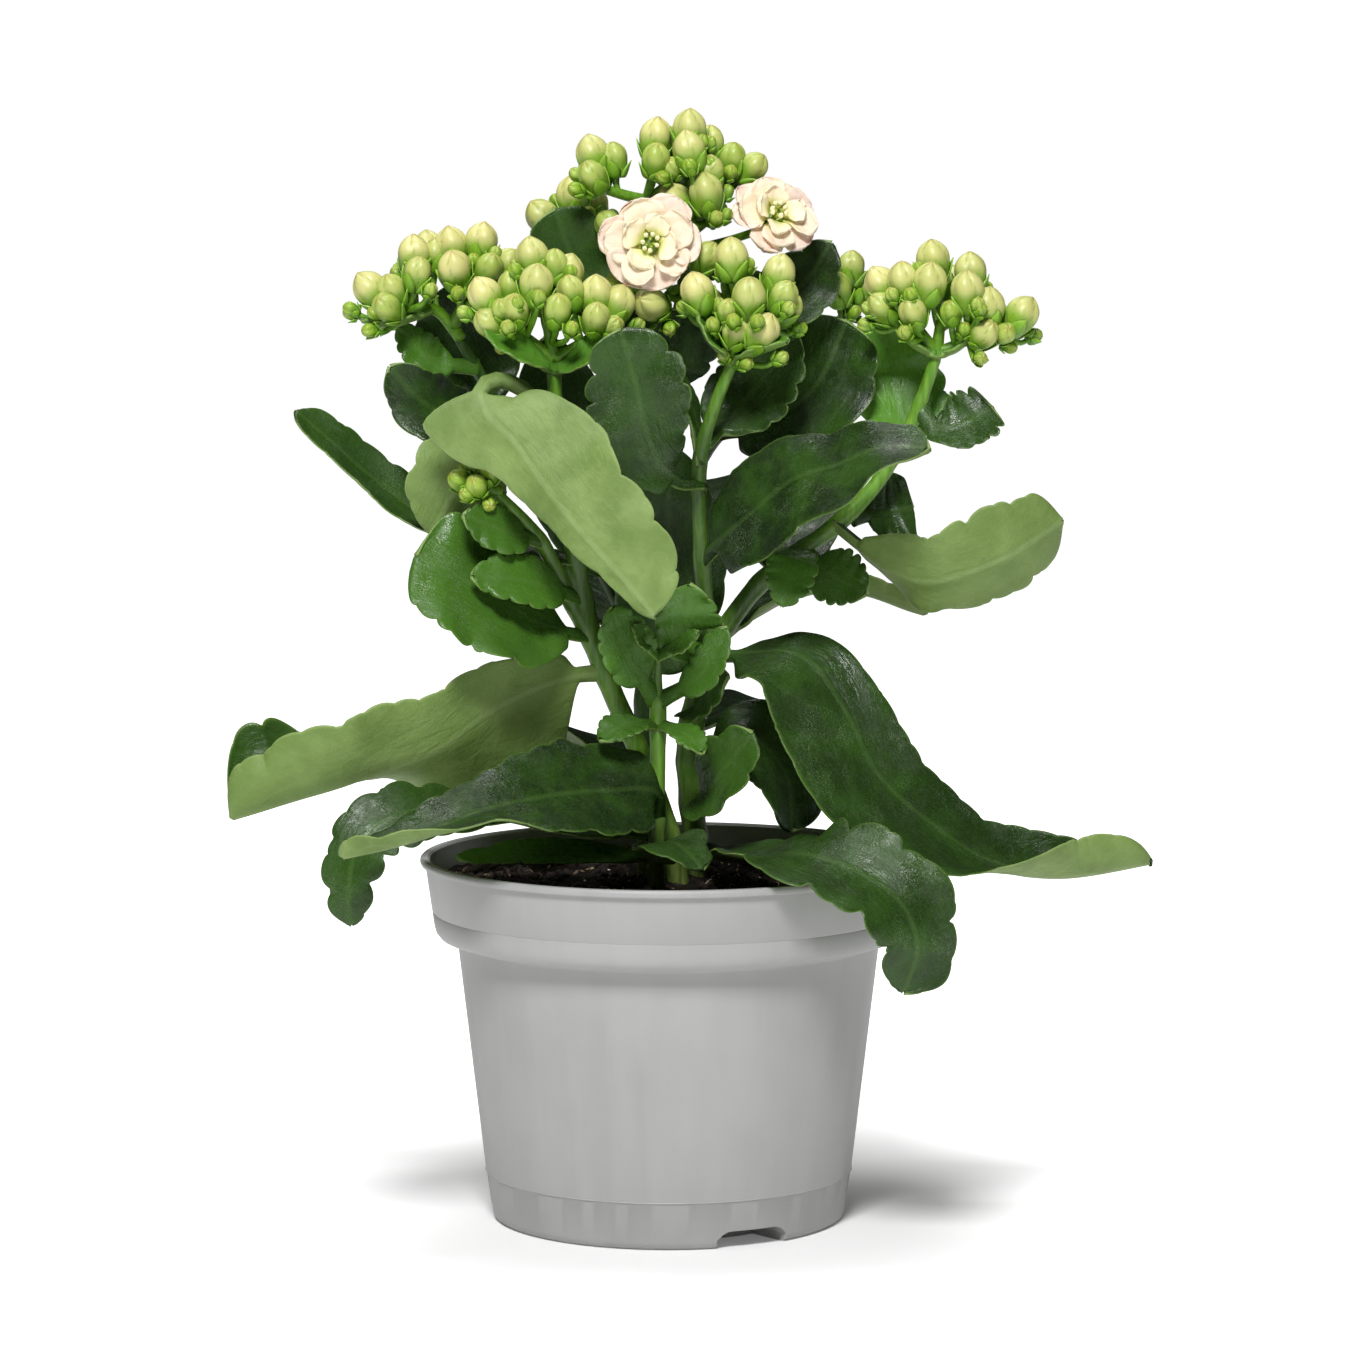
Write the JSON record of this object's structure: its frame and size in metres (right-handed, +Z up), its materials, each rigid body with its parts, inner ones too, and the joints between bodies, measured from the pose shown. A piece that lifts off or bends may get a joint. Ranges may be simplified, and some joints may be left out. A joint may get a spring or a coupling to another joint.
{
  "type": "potted kalanchoe",
  "caption": "Potted kalanchoe with fleshy scalloped leaves, heads of cream flower buds and two open double blooms, in a grey plastic nursery pot.",
  "frame": {"origin": "on the ground under the pot's axis, in the middle of the pot's flat bottom", "axes": "+Z up along the pot's axis, -Y towards the front of the plant, where most of the heads and the front bloom face"},
  "size_m": [0.2186, 0.1423, 0.267],
  "materials": {
    "pot": "satin",
    "soil": "matt",
    "stem": "satin",
    "leaf": "glossy",
    "bud": "satin",
    "petal": "matt",
    "heart": "satin"
  },
  "bodies": {
    "root": {"pot": "pot", "soil": "soil", "stem_left": "stem", "stem_right": "stem", "stem_back": "stem", "stem_front": "stem", "leaf_low_left_long": "leaf", "leaf_low_right_long": "leaf", "leaf_rim_right": "leaf", "leaf_front_left": "leaf", "leaf_rim_left": "leaf", "leaf_front_middle": "leaf", "leaf_front_upright": "leaf", "leaf_inner_right": "leaf", "leaf_left_reflexed": "leaf", "leaf_left_hanging": "leaf", "leaf_left_far": "leaf", "leaf_left_glossy": "leaf", "leaf_right_dark": "leaf", "leaf_right_pale": "leaf", "leaf_right_wrinkled": "leaf", "leaf_right_level": "leaf", "leaf_right_outer": "leaf", "leaf_right_bright": "leaf", "leaf_centre_upright": "leaf", "leaf_centre_edge": "leaf", "leaf_centre_back": "leaf", "leaf_centre_right": "leaf", "leaf_upper_right_round": "leaf", "leaf_upper_right_high": "leaf", "leaf_upper_left_round": "leaf", "leaf_left_shoulder": "leaf", "leaf_left_silver": "leaf", "leaf_centre_low": "leaf", "leaf_centre_left": "leaf", "leaf_centre_hollow": "leaf", "leaf_back_low_left": "leaf", "leaf_back_low_right": "leaf", "leaf_back_middle_left": "leaf", "leaf_back_middle": "leaf", "leaf_back_upper_right": "leaf", "leaf_back_upper_left": "leaf", "buds_left_back": "bud", "buds_left_front": "bud", "buds_crown": "bud", "buds_centre": "bud", "buds_right": "bud", "buds_small_right": "bud", "buds_left_shoot": "bud", "buds_back_left": "bud", "buds_middle": "bud", "bloom_front_stalk": "stem", "bloom_front_petals": "petal", "bloom_front_heart": "heart", "bloom_right_stalk": "stem", "bloom_right_petals": "petal", "bloom_right_heart": "heart"}
  },
  "joints": []
}
